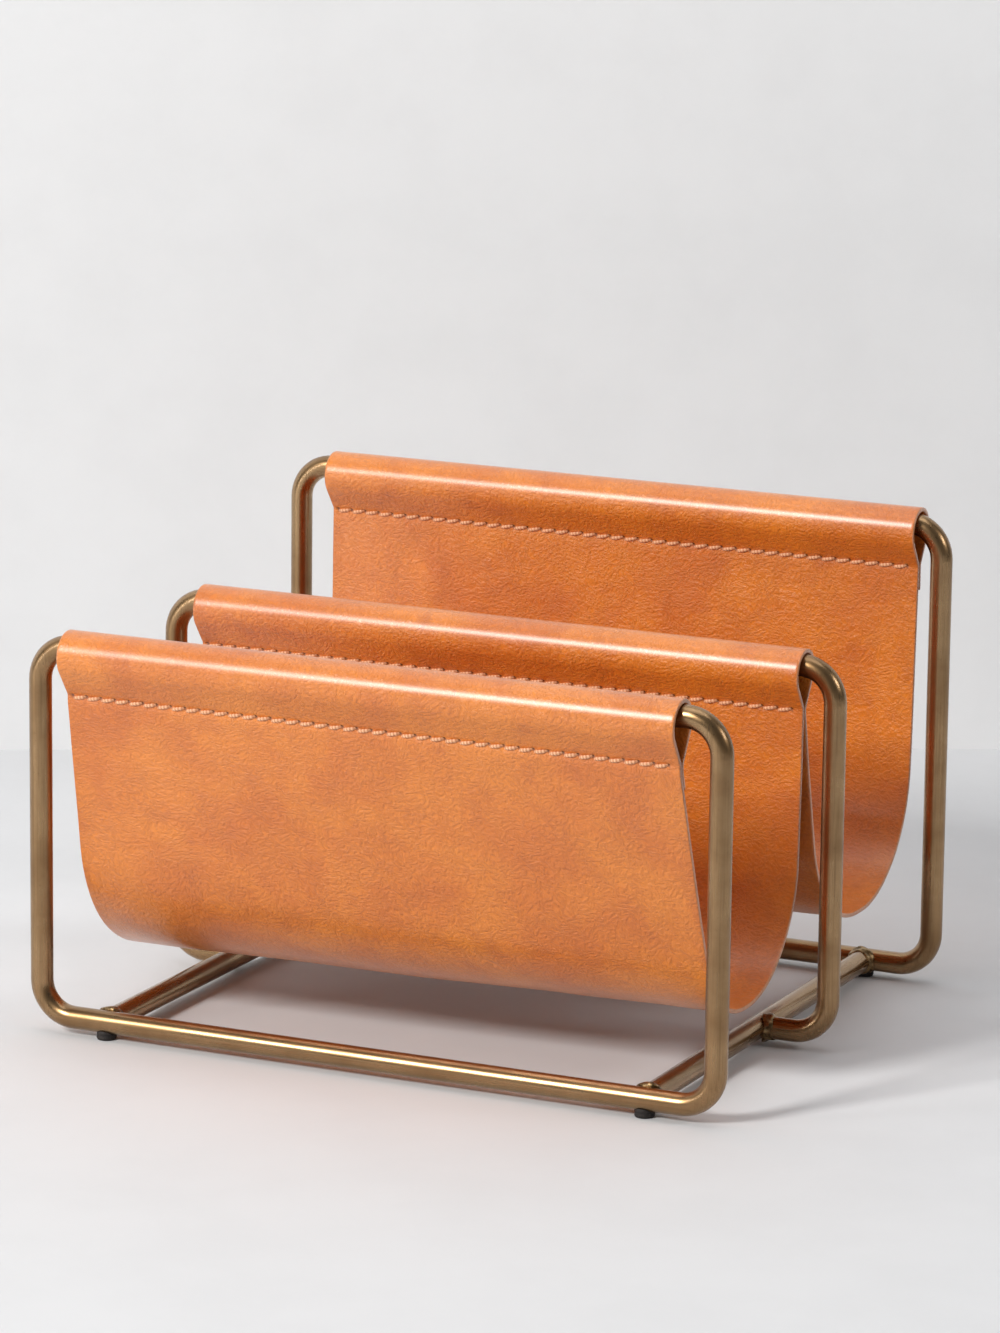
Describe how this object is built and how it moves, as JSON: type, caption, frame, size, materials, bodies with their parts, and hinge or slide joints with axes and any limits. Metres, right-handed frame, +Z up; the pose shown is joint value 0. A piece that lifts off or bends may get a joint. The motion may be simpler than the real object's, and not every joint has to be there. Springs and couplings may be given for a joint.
{
  "type": "magazine rack",
  "caption": "Low free-standing magazine rack: a leather sling hangs in deep open pockets between upright hoops of bent round rod.",
  "frame": {"origin": "on the floor, midway between the sides and midway between the front and back hoops", "axes": "+X along the bars to the right, +Y from the front hoop towards the taller back hoop, +Z up"},
  "size_m": [0.3146, 0.257, 0.2085],
  "materials": {
    "frame_metal": "antique brass, brushed, half gloss",
    "leather": "tan, fine wrinkled grain, half gloss",
    "thread": "light tan, matt",
    "foot_rubber": "dark brown, matt"
  },
  "bodies": {
    "root": {"front_hoop": "frame_metal", "middle_hoop": "frame_metal", "back_hoop": "frame_metal", "left_stringer": "frame_metal", "right_stringer": "frame_metal", "weld_front_left": "frame_metal", "weld_front_right": "frame_metal", "weld_middle_left": "frame_metal", "weld_middle_right": "frame_metal", "weld_back_left": "frame_metal", "weld_back_right": "frame_metal", "foot_front_left": "foot_rubber", "foot_front_right": "foot_rubber", "foot_back_left": "foot_rubber", "foot_back_right": "foot_rubber", "leather_sling": "leather", "front_needle_thread": "thread", "front_bobbin_thread": "thread", "middle_needle_thread": "thread", "middle_bobbin_thread": "thread", "back_needle_thread": "thread", "back_bobbin_thread": "thread"}
  },
  "joints": []
}
